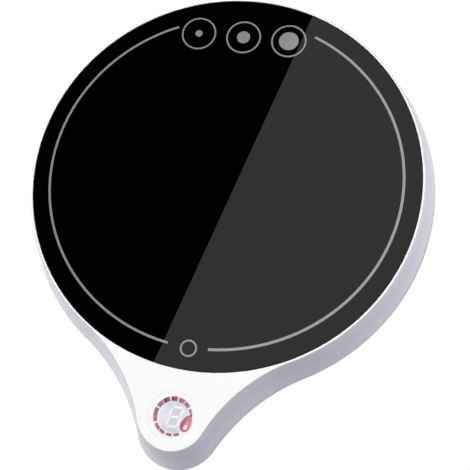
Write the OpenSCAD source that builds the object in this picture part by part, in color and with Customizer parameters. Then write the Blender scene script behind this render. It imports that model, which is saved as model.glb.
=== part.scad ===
// Electric mug warmer: a round glass hot plate in a slim drop-shaped housing,
// with a display and touch key on the tail. All lengths are in millimetres.
// The origin is under the middle of the outline, on the surface it stands on.
// +Z is up and the tail points along -Y.

/* [Plate] */
// Diameter of the glass hot plate
glass_d = 100; // [98:0.5:104]
// Thickness of the glass
glass_t = 3.0; // [2.4:0.2:3.2]
// Width of the housing's rim that shows round the glass
rim_w = 0.42; // [0.4:0.02:0.6]

/* [Tail] */
// Distance from the middle of the plate to the middle of the tail's round end, at the top face
tail_y = 60.9; // [60.5:0.1:61.5]
// Radius of the tail's round end at the top face
tail_r = 8.45; // [8.4:0.05:8.8]
// Radius of the hollow flank between plate and tail, at the top face
tail_fillet = 41.8; // [40:0.2:44]

/* [Housing] */
// Height of the side wall of the top cover
wall_h = 11.5; // [11.5:0.1:13]
// How far the side wall flares out round the plate, from top to bottom
flare = 3.38; // [3.2:0.02:3.6]
// Distance from the middle of the plate to the middle of the tail's end, at the lower edge
low_tail_y = 62.6; // [62:0.1:63]
// Radius of the tail's round end at the lower edge
low_tail_r = 10.8; // [10.6:0.1:11.2]
// Radius of the hollow flank at the lower edge
low_fillet = 49.6; // [48:0.2:51]
// Wall thickness of the housing
wall = 1.6; // [1.5:0.05:1.7]
// Height of the top cover's lower edge above the table
lift = 2.5; // [2.3:0.1:2.8]
// Height of the base above the table, which the feet bridge
foot_h = 1.5; // [1.2:0.1:1.6]

/* [Display] */
// Distance from the middle of the plate to the middle of the display window
display_y = 61.3; // [61:0.1:61.6]
// Radius of the display window
lens_r = 5.9; // [5.8:0.05:6.0]
// Number of places round the ring of bars
bar_places = 15; // [15:1:15]
// Mean radius of the ring of bars
bar_r = 4.4; // [4.35:0.05:4.6]
// Height of the digit
digit_h = 4.2; // [4:0.1:4.4]

/* [Feet and screws] */
// Radius of the four main feet
foot_r = 5.0; // [4:0.1:6]
// Distance of the four main feet from the middle of the plate
foot_at = 37; // [34:0.5:38]
// Radius of the circle of housing screws and clamp screws
screw_at = 48.6; // [48.4:0.1:48.8]

/* [Hidden] */
$fn = 96;

glass_r = glass_d / 2;
plate_r = glass_r + rim_w;                 // outline radius at the top face
low_plate_r = plate_r + flare;             // outline radius at the lower edge
plate_y = (low_tail_y + low_tail_r - low_plate_r) / 2; // puts the origin under the middle
top_z = lift + wall_h;
glass_top = top_z - 0.1;
glass_low = glass_top - glass_t;
gasket_low = glass_low - 0.4;
ledge_low = gasket_low - 1.5;
skin_low = top_z - 1.6;                    // underside of the tail's top skin
floor_top = foot_h + 1.5;

// the heating stack, from the glass down
spreader_low = glass_low - 1.0;
film_low = spreader_low - 0.2;
track_low = film_low - 0.1;
mica_low = track_low - 0.3;
felt_low = mica_low - 2.2;
clamp_low = felt_low - 0.6;
stack_r = 45.2;

// control board
pcb_top = 7.6;
pcb_low = 6.4;
pcb_edge_y = -49.2;
board_screw_at = [11.5, -53.2];

// inlet
inlet_z = 6.0;
inlet_y0 = 45.6;
inlet_y1 = plate_r + 1.9;
inlet_pcb_top = inlet_z - 1.63;
inlet_screw_at = [9.3, 46.9];

touch_at = [3.3, -0.95];                  // from the middle of the display
clamp_angles = [15, 165, 195, 345];
housing_angles = [50, 130, 230, 310];
foot_angles = [45, 135, 225, 315];

// The outline is [plate radius, tail distance, tail radius, flank radius]. It changes evenly
// from just under the top edge to the lower edge.
edge_d = 0.2;
edge_o = 0.21;
function outline_at(d) = let (u = (d - edge_d) / (wall_h - edge_d))
    grow([plate_r, tail_y, tail_r, tail_fillet], edge_o) * (1 - u)
    + [low_plate_r, low_tail_y, low_tail_r, low_fillet] * u;
function at_z(z) = outline_at(top_z - z);
function grow(o, off) = [o[0] + off, o[1], o[2] + off, o[3] - off];
// height of the flank circles' centres, and their distance from the middle plane
function flank_y(o) = -(pow(o[0] + o[3], 2) - pow(o[2] + o[3], 2) + o[1] * o[1]) / (2 * o[1]);
function flank_x(o) = sqrt(pow(o[0] + o[3], 2) - pow(flank_y(o), 2));

floor_o = grow(at_z(floor_top), -wall - 0.15);   // outline of the base's floor
rim_o = grow(at_z(floor_top + 2), -wall - 0.15); // and of the rim that stands on it
catch_y = rim_o[1] + rim_o[2];                   // where the lug meets the rim, at the tip of the tail

// ---------- shared shapes ----------

module place() translate([0, plate_y, 0]) children();

module cyl(r, z0, z1) translate([0, 0, z0]) cylinder(r = r, h = z1 - z0);

module at_polar(r, angles) for (a = angles) rotate([0, 0, a]) translate([r, 0, 0]) children();

// drop outline as points: plate, left flank, tail end, right flank
function arc_at(c, r, a, b, n) = [for (i = [0 : n - 1]) let (t = a + (b - a) * i / n) c + r * [cos(t), sin(t)]];
function drop_pts(o) = let (fx = flank_x(o), fy = flank_y(o), a = atan2(fy, fx), b = atan2(-o[1] - fy, fx), c = atan2(fy + o[1], fx))
    concat(arc_at([0, 0], o[0], a, 180 - a, 96),
        arc_at([-fx, fy], o[3], -a, b, 14),
        arc_at([0, -o[1]], o[2], -180 - c, c, 28),
        arc_at([fx, fy], o[3], 180 - b, 180 + a, 14));

module drop2d(o) polygon(drop_pts(o));

// solid through drop outlines, levels = [[z, outline], ...] from bottom to top, kept between z0 and z1
module drop3d(levels, z0, z1) intersection() {
    translate([-80, -90, z0]) cube([160, 160, z1 - z0]);
    rings = [for (l = levels) [for (p = drop_pts(l[1])) [p[0], p[1], l[0]]]];
    n = len(rings[0]);
    m = len(rings);
    polyhedron(points = [for (r = rings) each r], faces = concat(
        [[for (k = [0 : n - 1]) k]],
        [for (i = [0 : m - 2]) for (k = [0 : n - 1]) let (q = (k + 1) % n)
            [i * n + k, (i + 1) * n + k, (i + 1) * n + q, i * n + q]],
        [[for (k = [n - 1 : -1 : 0]) (m - 1) * n + k]]));
}

// slot outline with round ends
function slot_pts(w, h, n = 12) = concat(
    [for (i = [0 : n]) let (a = -90 + 180 * i / n) [(w - h) / 2 + h / 2 * cos(a), h / 2 * sin(a)]],
    [for (i = [0 : n]) let (a = 90 + 180 * i / n) [-(w - h) / 2 + h / 2 * cos(a), h / 2 * sin(a)]]);

// smoothed route through hand-placed points
function mid(a, b, t) = a + (b - a) * t;
function soften(p, n) = n == 0 ? p : soften(concat([p[0]],
    [for (i = [0 : len(p) - 2]) each [mid(p[i], p[i + 1], 0.25), mid(p[i], p[i + 1], 0.75)]],
    [p[len(p) - 1]]), n - 1);
function unit(v) = v / norm(v);
function square_to(v, t) = unit(v - (v * t) * t);

// round wire along a route
module wire(route, r, sides = 8) {
    n = len(route);
    t = [for (i = [0 : n - 1]) unit(route[min(i + 1, n - 1)] - route[max(i - 1, 0)])];
    first = square_to(abs(t[0][2]) > 0.8 ? [1, 0, 0] : [0, 0, 1], t[0]);
    u = [for (i = 0, v = first; i < n; i = i + 1, v = i < n ? square_to(v, t[i]) : v) v];
    pts = [for (i = [0 : n - 1]) for (k = [0 : sides - 1])
        let (a = 360 * k / sides) route[i] + r * (cos(a) * u[i] + sin(a) * cross(t[i], u[i]))];
    polyhedron(points = pts, faces = concat(
        [[for (k = [0 : sides - 1]) k]],
        [for (i = [0 : n - 2]) for (k = [0 : sides - 1]) let (m = (k + 1) % sides)
            [i * sides + k, (i + 1) * sides + k, (i + 1) * sides + m, i * sides + m]],
        [[for (k = [sides - 1 : -1 : 0]) (n - 1) * sides + k]]));
}

// pan-head screw standing on its head, head underside at z = 0
module screw(head_r, head_h, shank_r, length) {
    difference() {
        translate([0, 0, -head_h]) rotate_extrude()
            polygon([[0, 0], [head_r * 0.8, 0], [head_r, head_h * 0.45], [head_r, head_h], [0, head_h]]);
        for (a = [0, 90]) rotate([0, 0, a])
            translate([-head_r * 0.55, -head_r * 0.12, -head_h - 1]) cube([head_r * 1.1, head_r * 0.24, 1 + head_h * 0.5]);
    }
    rotate_extrude() polygon([[0, -0.05], [shank_r, -0.05], [shank_r, length - shank_r], [0, length]]);
}

// one bar of the digit: long hexagon along X
module digit_bar(l, w) polygon([[-l / 2, 0], [-l / 2 + w / 2, w / 2], [l / 2 - w / 2, w / 2],
    [l / 2, 0], [l / 2 - w / 2, -w / 2], [-l / 2 + w / 2, -w / 2]]);

// places and turns of the seven bars, leaning to the right
digit_w = digit_h * 0.56;
lean = 10;
digit_bars = [[0, digit_h / 2, 0], [0, 0, 0], [0, -digit_h / 2, 0],
    [-digit_w / 2, digit_h / 4, 1], [digit_w / 2, digit_h / 4, 1],
    [-digit_w / 2, -digit_h / 4, 1], [digit_w / 2, -digit_h / 4, 1]];
module digit(w) translate([0.3, 0.05]) for (b = digit_bars)
    translate([b[0] + b[1] * tan(lean), b[1]])
        rotate([0, 0, b[2] == 1 ? 90 - lean : 0]) digit_bar(b[2] == 1 ? digit_h * 0.43 : digit_w * 0.78, w);

// angles of the bars round the display; three places are kept free for the touch symbol
bar_angles = [for (i = [0 : bar_places - 1]) let (a = 99 - i * 360 / bar_places)
    if (abs(((a - atan2(touch_at[1], touch_at[0])) % 360 + 540) % 360 - 180) > 31) a];

// ---------- housing ----------

module glass_plate() color([0.02, 0.02, 0.02]) place() rotate_extrude($fn = 180)
    polygon([[0, glass_low], [glass_r - 0.4, glass_low], [glass_r, glass_low + 0.4],
        [glass_r, glass_top - 0.25], [glass_r - 0.25, glass_top], [0, glass_top]]);

module top_cover() color([0.93, 0.93, 0.95]) place() difference() {
    union() {
        difference() {
            drop3d([[lift - 0.1, grow(at_z(lift), -0.4)], [lift + 0.3, at_z(lift + 0.3)], [top_z - edge_d, at_z(top_z - edge_d)],
                [top_z - 0.07, grow([plate_r, tail_y, tail_r, tail_fillet], 0.09)],
                [top_z + 0.07, grow([plate_r, tail_y, tail_r, tail_fillet], -0.09)]], lift, top_z);
            drop3d([[lift - 2, grow(at_z(lift - 2), -wall)], [top_z, grow(at_z(top_z), -wall)]], lift - 1, skin_low);
        }
        // ring wall and ledge that carry the glass
        cyl(plate_r + 0.25, ledge_low, skin_low + 0.2);
        // bosses for the clamp plate, the housing screws, the inlet board and the control board
        at_polar(screw_at, clamp_angles) cyl(2.0, felt_low, ledge_low + 0.2);
        at_polar(screw_at, housing_angles) cyl(2.4, 4.2, ledge_low + 0.2);
        for (s = [-1, 1]) translate([s * inlet_screw_at[0], inlet_screw_at[1], 0])
            cyl(1.8, inlet_pcb_top, ledge_low + 0.2);
        for (s = [-1, 1]) translate([s * board_screw_at[0], board_screw_at[1], 0])
            cyl(1.9, pcb_top, skin_low + 0.2);
    }
    // seat of the glass and the window below it
    cyl(glass_r + 0.04, gasket_low, top_z + 1);
    cyl(46.5, ledge_low - 1, top_z);
    // display: opening and seat of the lens
    translate([0, -display_y, 0]) cyl(lens_r - 0.55, skin_low - 1, top_z + 1);
    translate([0, -display_y, 0]) cyl(lens_r + 0.03, top_z - 1.1, top_z + 1);
    // screw bores
    at_polar(screw_at, clamp_angles) cyl(0.85, felt_low - 1, gasket_low - 0.5);
    at_polar(screw_at, housing_angles) cyl(1.0, 3, ledge_low - 0.5);
    for (s = [-1, 1]) translate([s * inlet_screw_at[0], inlet_screw_at[1], 0])
        cyl(0.75, inlet_pcb_top - 1, ledge_low - 0.5);
    for (s = [-1, 1]) translate([s * board_screw_at[0], board_screw_at[1], 0])
        cyl(0.85, pcb_top - 1, skin_low - 0.8);
    // opening of the power socket
    translate([0, 60, inlet_z]) rotate([90, 0, 0]) linear_extrude(16) polygon(slot_pts(9.3, 3.62));
    // catch for the base cover's lug at the tip of the tail
    translate([-3, -catch_y - 0.8, 3.5]) cube([6, 3, 1.3]);
}

module base_cover() color([0.90, 0.90, 0.92]) place() difference() {
    union() {
        translate([0, 0, foot_h]) linear_extrude(0.4) drop2d(grow(floor_o, -0.4));
        translate([0, 0, foot_h + 0.39]) linear_extrude(floor_top - foot_h - 0.39) drop2d(floor_o);
        // upright rim inside the top cover's wall
        difference() {
            translate([0, 0, floor_top - 0.2]) linear_extrude(2.2) drop2d(rim_o);
            translate([0, 0, floor_top - 0.5]) linear_extrude(3) drop2d(grow(rim_o, -1.15));
            translate([-13, 44, floor_top]) cube([26, 12, 3]);
            at_polar(screw_at, housing_angles) cyl(2.8, 4.1, 6);
        }
        at_polar(screw_at, housing_angles) cyl(2.6, floor_top - 0.2, 4.1);
        // lug at the tip of the tail
        translate([-2.5, -catch_y - 0.5, 3.7]) cube([5, 2.6, 0.9]);
    }
    at_polar(screw_at, housing_angles) { cyl(2.1, foot_h - 1, floor_top); cyl(1.15, foot_h, 5); }
    at_polar(foot_at, foot_angles) cyl(foot_r + 0.05, foot_h - 1, foot_h + 0.6);
    translate([0, -low_tail_y, 0]) cyl(3.05, foot_h - 1, foot_h + 0.6);
    // vent slots
    for (s = [-1, 1]) for (i = [-2 : 2]) translate([s * 17.5, i * 4.2 - 6, foot_h - 1])
        linear_extrude(4) polygon(slot_pts(16, 1.8));
    // shallow bare field
    translate([0, 19, foot_h - 1]) linear_extrude(1.2) field(36, 18, 2);
}

// rectangle with round corners, as points
module field(w, h, r) polygon([for (c = [[1, 1, 0], [-1, 1, 90], [-1, -1, 180], [1, -1, 270]])
    for (i = [0 : 5]) let (a = c[2] + 18 * i)
        [c[0] * (w / 2 - r) + r * cos(a), c[1] * (h / 2 - r) + r * sin(a)]]);

module display_lens() color([0.97, 0.97, 0.98, 0.8]) place() translate([0, -display_y, 0])
    rotate_extrude() polygon([[0, top_z - 1.08], [lens_r, top_z - 1.08], [lens_r, top_z - 0.15],
        [lens_r - 0.1, top_z - 0.05], [0, top_z - 0.05]]);

module foot(r) rotate_extrude() polygon([[0, 0], [r - 0.5, 0], [r, 0.5], [r, foot_h + 0.58], [0, foot_h + 0.58]]);

module rubber_feet() color([0.12, 0.12, 0.13]) place() at_polar(foot_at, foot_angles) foot(foot_r);

module tail_foot() color([0.12, 0.12, 0.13]) place() translate([0, -low_tail_y, 0]) foot(3.0);

module housing_screws() color([0.75, 0.75, 0.76]) place() at_polar(screw_at, housing_angles)
    translate([0, 0, floor_top]) screw(1.9, 1.2, 0.95, 5.2);

// ---------- heating stack ----------

module glass_gasket() color([0.85, 0.83, 0.80]) place() translate([0, 0, gasket_low]) linear_extrude(0.4)
    difference() { circle(r = glass_r - 0.5); circle(r = 46.9); }

module heat_spreader() color([0.80, 0.81, 0.83]) place() rotate_extrude()
    polygon([[0, spreader_low], [45.7, spreader_low], [46.0, spreader_low + 0.3], [46.0, glass_low], [0, glass_low]]);

// holes through the stack: sensor at the middle, terminals, and the fuse's window
module stack_holes(g = 0) {
    circle(r = 3 + g);
    translate([-6 - g, -42 - g]) square([12 + 2 * g, 6.5 + 2 * g]);
    translate([-21 - g, -30.2 - g]) square([14 + 2 * g, 4.4 + 2 * g]);
}

module heater_film() color([0.78, 0.50, 0.14]) place() translate([0, 0, film_low]) linear_extrude(0.2)
    difference() { circle(r = 44.6); circle(r = 3); }

track_n = 9;
function track_r(k) = 10 + 4 * k;
module heating_track() color([0.55, 0.56, 0.58]) place() translate([0, 0, track_low]) linear_extrude(0.1) {
    for (k = [0 : track_n - 1]) difference() {
        circle(r = track_r(k) + 1.1);
        circle(r = track_r(k) - 1.1);
        translate([-5, -60]) square([10, 60]);
    }
    // links between neighbouring rings, right and left in turn
    for (k = [0 : track_n - 2]) let (s = k % 2 == 0 ? 1 : -1, y0 = sqrt(pow(track_r(k), 2) - 36), y1 = sqrt(pow(track_r(k + 1), 2) - 36))
        translate([s * 6.1 - 1.0, -y1 - 0.7]) square([2.0, y1 - y0 + 1.4]);
    // return strip and the two terminals
    translate([-4.0, -40.5]) square([1.6, 32.6]);
    translate([-5.4, -9.6]) square([3.0, 1.9]);
    translate([2.4, -40.6]) square([2.2, 3.2]);
    translate([2.4, -42.6]) square([3.2, 2.2]);
}

module mica_sheet() color([0.80, 0.74, 0.62]) place() translate([0, 0, mica_low]) linear_extrude(0.3)
    difference() { circle(r = stack_r); circle(r = 3); translate([-6, -42]) square([12, 6.5]); }

module insulation_felt() color([0.86, 0.86, 0.84]) place() translate([0, 0, felt_low]) linear_extrude(2.2)
    difference() { circle(r = stack_r - 0.4); stack_holes(); }

module clamp_plate() color([0.70, 0.71, 0.73]) place() translate([0, 0, clamp_low]) linear_extrude(0.6)
    difference() {
        union() {
            circle(r = stack_r);
            at_polar(screw_at - 3.5, clamp_angles) translate([0, 0]) square([7, 5], center = true);
            at_polar(screw_at, clamp_angles) circle(r = 2.25);
        }
        stack_holes(0.2);
        at_polar(screw_at, clamp_angles) circle(r = 1.0);
        at_polar(32, [0 : 60 : 359]) circle(r = 2.0);
    }

module clamp_screws() color([0.75, 0.75, 0.76]) place() at_polar(screw_at, clamp_angles)
    translate([0, 0, clamp_low]) screw(1.6, 1.0, 0.8, 3.2);

module thermistor() color([0.15, 0.13, 0.12]) place() translate([0, 1.6, spreader_low - 0.95])
    rotate([90, 0, 0]) rotate_extrude($fn = 32)
        polygon([[0, 0], [0.5, 0], [0.92, 0.5], [0.92, 2.7], [0.5, 3.2], [0, 3.2]]);

module sensor_leads() color([0.85, 0.85, 0.83]) place() for (s = [-1, 1]) wire(soften([
    [s * 0.42, -1.61, 8.95], [s * 0.42, -2.1, 8.95], [s * 0.5, -2.45, 7.6], [s * 0.6, -2.5, 6.3],
    [s * 0.7, -4.6, 5.6], [s * 0.9, -18, 5.6], [s * 0.9, -34, 5.6], [s * 0.9, -47.6, 5.5],
    [s * 0.9, -50.6, 5.5], [s * 0.9, -50.6, 6.39]], 2), 0.35);

module thermal_fuse() color([0.82, 0.80, 0.75]) place() translate([-18.3, -28, mica_low - 1.32])
    rotate([0, 90, 0]) rotate_extrude($fn = 40)
        polygon([[0, 0], [0.9, 0], [1.3, 0.5], [1.3, 8.0], [0.9, 8.6], [0, 8.6]]);

module heater_leads() color([0.80, 0.80, 0.78]) place() {
    wire(soften([[3.5, -39, 9.58], [3.5, -39, 8.2], [3.5, -39.2, 6.6], [3.9, -40.6, 5.6],
        [6.5, -44.5, 5.4], [10.6, -47.8, 5.4], [11.5, -50.6, 5.4], [11.5, -50.6, 6.39]], 2), 0.5);
    wire(soften([[-3.5, -38.6, 9.58], [-3.5, -38.6, 8.2], [-3.5, -38.4, 6.2], [-4.0, -36.2, 5.4],
        [-6.2, -31.5, 5.4], [-8.0, -28.6, 5.4], [-8.6, -28, 6.4], [-8.8, -28, 7.98], [-9.68, -28, 7.98]], 2), 0.5);
    wire(soften([[-18.32, -28, 7.98], [-19.6, -28, 7.98], [-20.0, -28.2, 6.2], [-19.6, -31, 5.3],
        [-14, -41, 5.3], [-7.4, -47.6, 5.3], [-6.5, -50.6, 5.4], [-6.5, -50.6, 6.39]], 2), 0.5);
}

// ---------- electronics in the tail ----------

module control_board() color([0.10, 0.34, 0.20]) place() difference() {
    translate([0, 0, pcb_low]) linear_extrude(pcb_top - pcb_low) drop2d(grow(at_z(pcb_top), -wall - 0.25));
    translate([-80, pcb_edge_y, pcb_low - 1]) cube([160, 160, 4]);
    for (s = [-1, 1]) translate([s * board_screw_at[0], board_screw_at[1], 0]) cyl(1.0, pcb_low - 1, pcb_top + 1);
}

module microcontroller() color([0.08, 0.08, 0.09]) place() translate([-4.4, -51.8, pcb_top]) {
    translate([-2.6, -1.5, 0.1]) cube([5.2, 3.0, 1.0]);
    for (s = [-1, 1]) for (i = [0 : 6]) translate([-2.1 + 0.7 * i - 0.13, s > 0 ? 1.45 : -2.05, 0]) cube([0.26, 0.6, 0.25]);
}

module power_transistor() color([0.10, 0.10, 0.11]) place() translate([5.6, -54, 0]) {
    translate([-2.6, -2.4, pcb_low - 2.1]) cube([5.2, 4.6, 2.0]);
    translate([-2.3, -3.4, pcb_low - 0.45]) cube([4.6, 4.2, 0.45]);
    for (s = [-1, 1]) translate([s * 1.7 - 0.35, 1.9, pcb_low - 0.5]) cube([0.7, 1.4, 0.5]);
}

module board_capacitors() color([0.74, 0.62, 0.42]) place() {
    translate([-4.6, -55.2, pcb_low - 1.4]) cube([2.0, 3.2, 1.4]);
    translate([-1.4, -55.2, pcb_low - 1.4]) cube([2.0, 3.2, 1.4]);
    translate([-8.2, -55.6, pcb_low - 1.9]) cube([2.4, 3.4, 1.9]);
    translate([4.6, -52.4, pcb_top]) cube([3.0, 1.5, 1.1]);
}

module board_screws() color([0.75, 0.75, 0.76]) place() for (s = [-1, 1])
    translate([s * board_screw_at[0], board_screw_at[1], pcb_low]) screw(1.6, 1.0, 0.8, 5.0);

module touch_spring() color([0.80, 0.80, 0.78]) place() translate([touch_at[0], touch_at[1] - display_y, 0])
    wire([for (i = [0 : 56]) let (a = i * 30)
        [1.05 * cos(a), 1.05 * sin(a), pcb_top + 0.2 + (top_z - 1.35 - pcb_top - 0.45) * i / 56]], 0.2, 8);

module light_baffle() color([0.95, 0.95, 0.95]) place() translate([0, -display_y, 0]) difference() {
    union() { cyl(6.4, pcb_top, skin_low - 0.05); cyl(lens_r - 0.62, skin_low - 0.2, top_z - 1.35); }
    translate([0, 0, pcb_top - 1]) linear_extrude(8) digit(0.62);
    for (a = bar_angles) rotate([0, 0, a]) translate([bar_r - 0.35, -0.62, pcb_top - 1]) cube([0.7, 1.24, 8]);
    translate([touch_at[0], touch_at[1], 0]) cyl(1.35, pcb_top - 1, top_z);
}

module display_leds() color([0.85, 0.20, 0.25]) place() translate([0, -display_y, 0]) {
    for (a = bar_angles) rotate([0, 0, a]) translate([bar_r - 0.2, -0.4, pcb_top]) cube([0.4, 0.8, 0.35]);
    translate([0.3, 0.05, 0]) for (b = digit_bars) translate([b[0] + b[1] * tan(lean), b[1], pcb_top])
        rotate([0, 0, b[2] == 1 ? 90 - lean : 0]) translate([-0.4, -0.2, 0]) cube([0.8, 0.4, 0.35]);
}

module diffuser_film() color([0.97, 0.97, 0.98]) place() translate([0, -display_y, 0])
    cyl(lens_r - 0.62, top_z - 1.33, top_z - 1.1);

// ---------- power inlet ----------

module inlet_board() color([0.10, 0.34, 0.20]) place() translate([0, 0, inlet_pcb_top - 0.8]) linear_extrude(0.8)
    difference() {
        translate([-11.4, 41]) square([22.8, 8.4]);
        for (s = [-1, 1]) translate([s * inlet_screw_at[0], inlet_screw_at[1]]) circle(r = 0.9);
    }

module inlet_shell() color([0.78, 0.79, 0.80]) place() translate([0, inlet_y1, inlet_z]) rotate([90, 0, 0])
    linear_extrude(inlet_y1 - inlet_y0) difference() {
        polygon(slot_pts(8.94, 3.26));
        polygon(slot_pts(8.34, 2.66));
    }

module inlet_tongue() color([0.08, 0.08, 0.09]) place() {
    translate([0, inlet_y0 + 1.6, inlet_z]) rotate([90, 0, 0]) linear_extrude(1.6) polygon(slot_pts(8.28, 2.6));
    translate([-3.35, inlet_y0 + 1.5, inlet_z - 0.35]) cube([6.7, 5.0, 0.7]);
}

module inlet_board_screws() color([0.75, 0.75, 0.76]) place() for (s = [-1, 1])
    translate([s * inlet_screw_at[0], inlet_screw_at[1], inlet_pcb_top - 0.8]) screw(1.4, 0.5, 0.7, 4.4);

module power_wires() color([0.60, 0.10, 0.10]) place() for (i = [0, 1]) let (x0 = i == 0 ? -2.2 : 2.2, x1 = i == 0 ? -13.4 : -11.1)
    wire(soften([[x0, 40.98, 3.95], [x0, 38, 3.9], [x0 * 0.8, 26, 3.9], [x0 * 0.6 - 1.5, 8, 3.9],
        [x0 * 0.6 - 4, -12, 3.9], [x0 * 0.6 - 7, -30, 3.9], [x1 + 0.8, -42, 3.9], [x1, -50.0, 3.9],
        [x1, -50.5, 4.9], [x1, -50.5, 6.39]], 2), 0.7);

glass_plate();
top_cover();
base_cover();
display_lens();
rubber_feet();
tail_foot();
glass_gasket();
heat_spreader();
heater_film();
heating_track();
mica_sheet();
insulation_felt();
clamp_plate();
clamp_screws();
thermistor();
sensor_leads();
thermal_fuse();
heater_leads();
control_board();
microcontroller();
power_transistor();
board_capacitors();
board_screws();
touch_spring();
light_baffle();
display_leds();
diffuser_film();
inlet_board();
inlet_shell();
inlet_tongue();
inlet_board_screws();
power_wires();
housing_screws();
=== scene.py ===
import math

import bmesh
import bpy
import numpy as np
from mathutils import Matrix, Vector
from mathutils.geometry import tessellate_polygon


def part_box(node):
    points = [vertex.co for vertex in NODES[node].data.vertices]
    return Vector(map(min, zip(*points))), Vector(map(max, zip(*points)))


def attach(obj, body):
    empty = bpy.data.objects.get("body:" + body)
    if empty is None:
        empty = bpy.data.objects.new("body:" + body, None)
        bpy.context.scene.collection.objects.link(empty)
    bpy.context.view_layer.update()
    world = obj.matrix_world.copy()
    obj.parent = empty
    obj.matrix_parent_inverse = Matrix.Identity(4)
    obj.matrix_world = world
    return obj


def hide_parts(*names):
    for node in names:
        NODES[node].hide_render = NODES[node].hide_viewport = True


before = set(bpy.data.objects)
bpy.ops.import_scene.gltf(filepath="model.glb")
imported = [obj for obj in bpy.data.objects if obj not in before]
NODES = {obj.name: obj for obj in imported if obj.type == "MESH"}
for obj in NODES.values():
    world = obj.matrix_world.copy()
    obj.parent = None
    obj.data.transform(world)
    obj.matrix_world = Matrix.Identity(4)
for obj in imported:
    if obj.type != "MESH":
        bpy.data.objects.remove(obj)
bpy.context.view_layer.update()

MM = 0.001

# ---------------------------------------------------------------- sizes, in mm, as the CAD has them
glass_lo, glass_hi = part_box("glass_plate")
cover_lo, cover_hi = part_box("top_cover")
lens_lo, lens_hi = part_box("display_lens")
PLATE_Y = (glass_lo.y + glass_hi.y) / 2 / MM      # middle of the plate
TOP_Z = cover_hi.z / MM                           # top face of the housing
LIFT = cover_lo.z / MM                            # lower edge of the top cover
GLASS_Z = glass_hi.z / MM                         # top of the glass
GLASS_LOW = glass_lo.z / MM
LENS_Z = lens_hi.z / MM
GLASS_R = 50.0
# outlines: plate radius, distance of the tail's middle, tail radius, flank radius
TOP_O = np.array((50.42, 60.9, 8.45, 41.8))       # at the top face
LOW_O = np.array((53.75, 62.6, 10.75, 49.65))     # at the lower edge
PLATE_R = TOP_O[0]
LENS_Y = (lens_lo.y + lens_hi.y) / 2 / MM - PLATE_Y   # middle of the display window, seen from the plate's
LOW_TAIL_Y = LOW_O[1]
WALL_H = TOP_Z - LIFT
EDGE_D = 0.2
EDGE_O = 0.21
WALL_T = 1.6
LENS_R = 5.9

BODY = "root"


def grow(o, off):
    return o + np.array((off, 0.0, off, -off))


def outline_at(d):
    u = (d - EDGE_D) / (WALL_H - EDGE_D)
    return grow(TOP_O, EDGE_O) * (1 - u) + LOW_O * u


# ---------------------------------------------------------------- mesh helpers
def add_object(name, verts, faces, smooth=True, sharp=35, weighted=True):
    mesh = bpy.data.meshes.new(name)
    mesh.from_pydata([tuple(v) for v in verts], [], faces)
    bm = bmesh.new()
    bm.from_mesh(mesh)
    bmesh.ops.remove_doubles(bm, verts=bm.verts, dist=1e-7)
    bmesh.ops.dissolve_degenerate(bm, edges=bm.edges, dist=1e-8)
    bmesh.ops.recalc_face_normals(bm, faces=bm.faces)
    bm.to_mesh(mesh)
    bm.free()
    obj = bpy.data.objects.new(name, mesh)
    bpy.context.scene.collection.objects.link(obj)
    finish_shading(obj, smooth, sharp, weighted)
    return obj


def finish_shading(obj, smooth=True, sharp=35, weighted=True):
    mesh = obj.data
    if smooth:
        mesh.shade_smooth()
        mesh.set_sharp_from_angle(angle=math.radians(sharp))
        if weighted:
            mod = obj.modifiers.new("weighted_normals", "WEIGHTED_NORMAL")
            mod.keep_sharp = True
            mod.weight = 80


def lathe(name, profile, n=96, at=(0.0, 0.0), closed=True, **kw):
    """Solid of revolution about Z through at; profile is a loop of (r, z) in mm."""
    verts, faces, rings = [], [], []
    for r, z in profile:
        if r <= 1e-9:
            verts.append((at[0] * MM, at[1] * MM, z * MM))
            rings.append([len(verts) - 1])
        else:
            start = len(verts)
            for k in range(n):
                a = 2 * math.pi * k / n
                verts.append(((at[0] + r * math.cos(a)) * MM, (at[1] + r * math.sin(a)) * MM, z * MM))
            rings.append(list(range(start, start + n)))
    pairs = list(zip(rings, rings[1:]))
    if closed:
        pairs.append((rings[-1], rings[0]))
    for a, b in pairs:
        if len(a) == 1 and len(b) == 1:
            continue
        if len(a) == 1:
            faces += [(a[0], b[k], b[(k + 1) % n]) for k in range(n)]
        elif len(b) == 1:
            faces += [(a[k], a[(k + 1) % n], b[0]) for k in range(n)]
        else:
            faces += [(a[k], a[(k + 1) % n], b[(k + 1) % n], b[k]) for k in range(n)]
    return add_object(name, verts, faces, **kw)


def arc_pts(cx, cz, r, a0, a1, n):
    return [(cx + r * math.cos(math.radians(a0 + (a1 - a0) * i / n)),
             cz + r * math.sin(math.radians(a0 + (a1 - a0) * i / n))) for i in range(n + 1)]


# points of a drop outline; the same number of points for every outline
def drop_xy(o):
    r, ty, tr, f = (float(v) for v in o)
    fy = -((r + f) ** 2 - (tr + f) ** 2 + ty * ty) / (2 * ty)
    fx = math.sqrt((r + f) ** 2 - fy * fy)

    def arc(cx, cy, rad, a, b, n):
        return [(cx + rad * math.cos(a + (b - a) * i / n), cy + rad * math.sin(a + (b - a) * i / n)) for i in range(n)]

    a = math.atan2(fy, fx)
    b = math.atan2(-ty - fy, fx)
    c = math.atan2(fy + ty, fx)
    return (arc(0, 0, r, a, math.pi - a, 288) + arc(-fx, fy, f, -a, b, 56)
            + arc(0, -ty, tr, -math.pi - c, c, 96) + arc(fx, fy, f, math.pi - b, math.pi + a, 56))


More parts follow.
